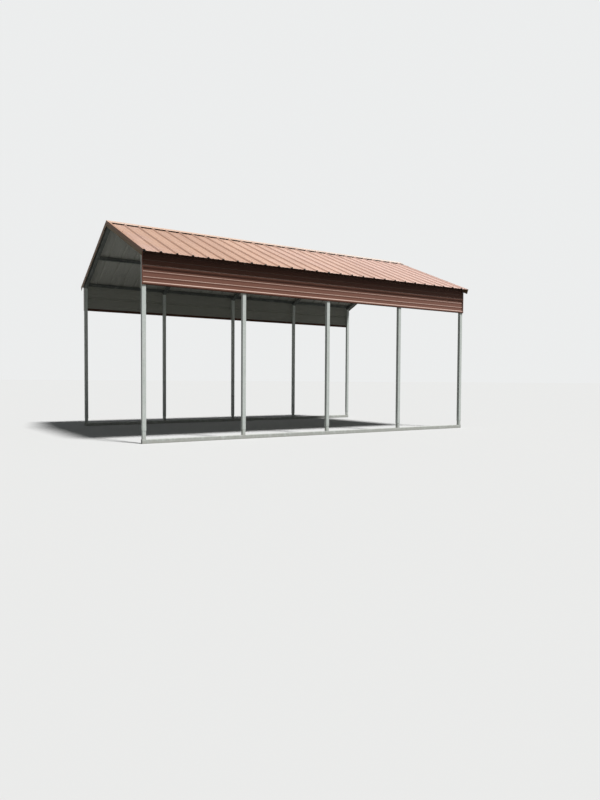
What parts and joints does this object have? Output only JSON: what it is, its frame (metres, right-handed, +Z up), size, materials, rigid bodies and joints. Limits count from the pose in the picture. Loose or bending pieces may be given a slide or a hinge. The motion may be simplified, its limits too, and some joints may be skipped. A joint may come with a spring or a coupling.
{
  "type": "carport",
  "caption": "Open-sided gable carport: square steel tube legs and rafters on base rails, hat purlins, ribbed metal roof sheets, shallow side panels, ridge cap and rake trims.",
  "frame": {"origin": "on the ground, at the middle of the plan", "axes": "+X along the length and the ridge, +Y from the front side to the back side, +Z up"},
  "size_m": [6.156, 3.905, 3.4269],
  "materials": {
    "galvanised_tube": "galvanised, dull spangle",
    "galvanised_channel": "galvanised, dull",
    "painted_sheet": "brown factory paint, pale grey backer inside",
    "painted_trim": "brown factory paint"
  },
  "bodies": {
    "root": {"base_rail_back": "galvanised_tube", "base_rail_front": "galvanised_tube", "corner_trims": "painted_trim", "eave_purlins": "galvanised_channel", "leg_back_1": "galvanised_tube", "leg_back_2": "galvanised_tube", "leg_back_3": "galvanised_tube", "leg_back_4": "galvanised_tube", "leg_back_5": "galvanised_tube", "leg_front_1": "galvanised_tube", "leg_front_2": "galvanised_tube", "leg_front_3": "galvanised_tube", "leg_front_4": "galvanised_tube", "leg_front_5": "galvanised_tube", "leg_stubs": "galvanised_tube", "middle_purlins": "galvanised_channel", "rafter_back_1": "galvanised_tube", "rafter_back_2": "galvanised_tube", "rafter_back_3": "galvanised_tube", "rafter_back_4": "galvanised_tube", "rafter_back_5": "galvanised_tube", "rafter_front_1": "galvanised_tube", "rafter_front_2": "galvanised_tube", "rafter_front_3": "galvanised_tube", "rafter_front_4": "galvanised_tube", "rafter_front_5": "galvanised_tube", "rake_trims_left": "painted_trim", "rake_trims_right": "painted_trim", "ridge_cap": "painted_trim", "ridge_purlins": "galvanised_channel", "roof_sheet_back_1": "painted_sheet", "roof_sheet_back_2": "painted_sheet", "roof_sheet_back_3": "painted_sheet", "roof_sheet_back_4": "painted_sheet", "roof_sheet_back_5": "painted_sheet", "roof_sheet_back_6": "painted_sheet", "roof_sheet_back_7": "painted_sheet", "roof_sheet_front_1": "painted_sheet", "roof_sheet_front_2": "painted_sheet", "roof_sheet_front_3": "painted_sheet", "roof_sheet_front_4": "painted_sheet", "roof_sheet_front_5": "painted_sheet", "roof_sheet_front_6": "painted_sheet", "roof_sheet_front_7": "painted_sheet", "side_panel_back": "painted_sheet", "side_panel_front": "painted_sheet"}
  },
  "joints": []
}
